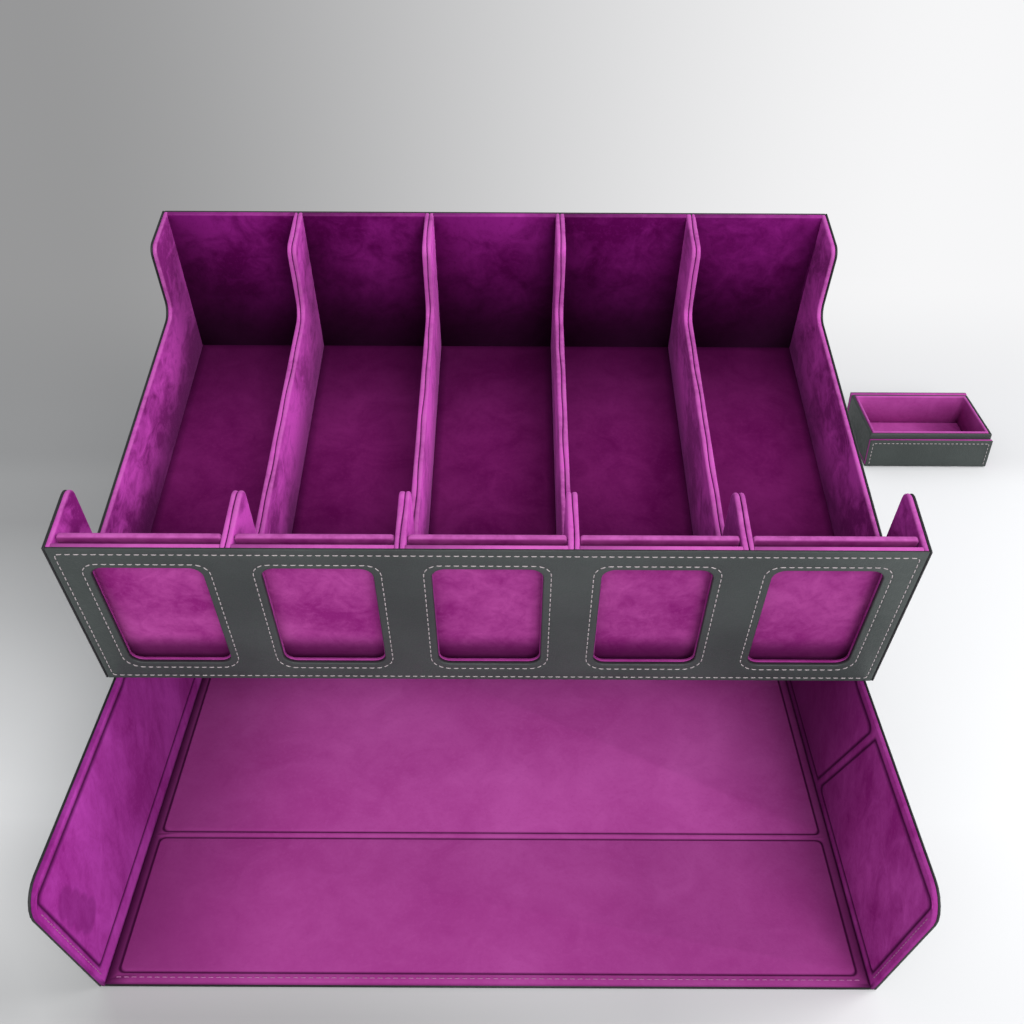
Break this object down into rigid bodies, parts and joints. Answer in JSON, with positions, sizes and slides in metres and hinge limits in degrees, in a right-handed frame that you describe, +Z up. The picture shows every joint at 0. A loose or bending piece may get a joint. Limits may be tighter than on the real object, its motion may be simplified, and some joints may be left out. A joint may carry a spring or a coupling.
{
  "type": "trading card storage box",
  "caption": "Leather-covered card box with suede-lined lanes, card pockets and front windows, tilted on a shallow stand tray, with a small lined tray in its cover.",
  "frame": {"origin": "middle of the stand tray's underside, on the table", "axes": "+X to the right as seen from the front, +Y to the back, +Z up"},
  "size_m": [0.582, 0.5458, 0.2624],
  "materials": {
    "black_leather": "fine grain, matt",
    "purple_suede": "brushed nap",
    "grey_board": "plain"
  },
  "bodies": {
    "stand_tray": {"tray_floor_leather": "black_leather", "tray_left_leather": "black_leather", "tray_right_leather": "black_leather", "tray_rear_leather": "black_leather", "tray_floor_front_board": "grey_board", "tray_floor_rear_board": "grey_board", "tray_left_board": "grey_board", "tray_right_front_board": "grey_board", "tray_right_rear_board": "grey_board", "tray_rear_board": "grey_board", "tray_floor_lining": "purple_suede", "tray_left_lining": "purple_suede", "tray_right_lining": "purple_suede", "tray_rear_lining": "purple_suede"},
    "card_box": {"left_side_leather": "black_leather", "right_side_leather": "black_leather", "back_leather": "black_leather", "bottom_leather": "black_leather", "front_leather": "black_leather", "left_side_board": "grey_board", "right_side_board": "grey_board", "back_board": "grey_board", "bottom_board": "grey_board", "front_board": "grey_board", "lane_1_left_wall": "purple_suede", "lane_1_right_wall": "purple_suede", "lane_1_floor_pad": "purple_suede", "lane_1_back_lining": "purple_suede", "lane_1_front_lining": "purple_suede", "lane_1_pocket_wall": "purple_suede", "lane_2_left_wall": "purple_suede", "lane_2_right_wall": "purple_suede", "lane_2_floor_pad": "purple_suede", "lane_2_back_lining": "purple_suede", "lane_2_front_lining": "purple_suede", "lane_2_pocket_wall": "purple_suede", "lane_3_left_wall": "purple_suede", "lane_3_right_wall": "purple_suede", "lane_3_floor_pad": "purple_suede", "lane_3_back_lining": "purple_suede", "lane_3_front_lining": "purple_suede", "lane_3_pocket_wall": "purple_suede", "lane_4_left_wall": "purple_suede", "lane_4_right_wall": "purple_suede", "lane_4_floor_pad": "purple_suede", "lane_4_back_lining": "purple_suede", "lane_4_front_lining": "purple_suede", "lane_4_pocket_wall": "purple_suede", "lane_5_left_wall": "purple_suede", "lane_5_right_wall": "purple_suede", "lane_5_floor_pad": "purple_suede", "lane_5_back_lining": "purple_suede", "lane_5_front_lining": "purple_suede", "lane_5_pocket_wall": "purple_suede"},
    "small_cover": {"small_cover_leather": "black_leather", "small_cover_lining": "purple_suede"},
    "small_tray": {"small_tray_leather": "black_leather", "small_tray_lining": "purple_suede", "small_tray_floor_pad": "purple_suede"}
  },
  "joints": [
    {"name": "box_lift", "type": "slide", "parent": "stand_tray", "child": "card_box", "axis": [0, 0, 1], "range_m": [0, 0.15]},
    {"name": "cover_lift", "type": "slide", "parent": "stand_tray", "child": "small_cover", "axis": [0, 0, 1], "range_m": [0, 0.1]},
    {"name": "small_tray_lift", "type": "slide", "parent": "small_cover", "child": "small_tray", "axis": [0, 0, 1], "range_m": [0, 0.06]}
  ]
}
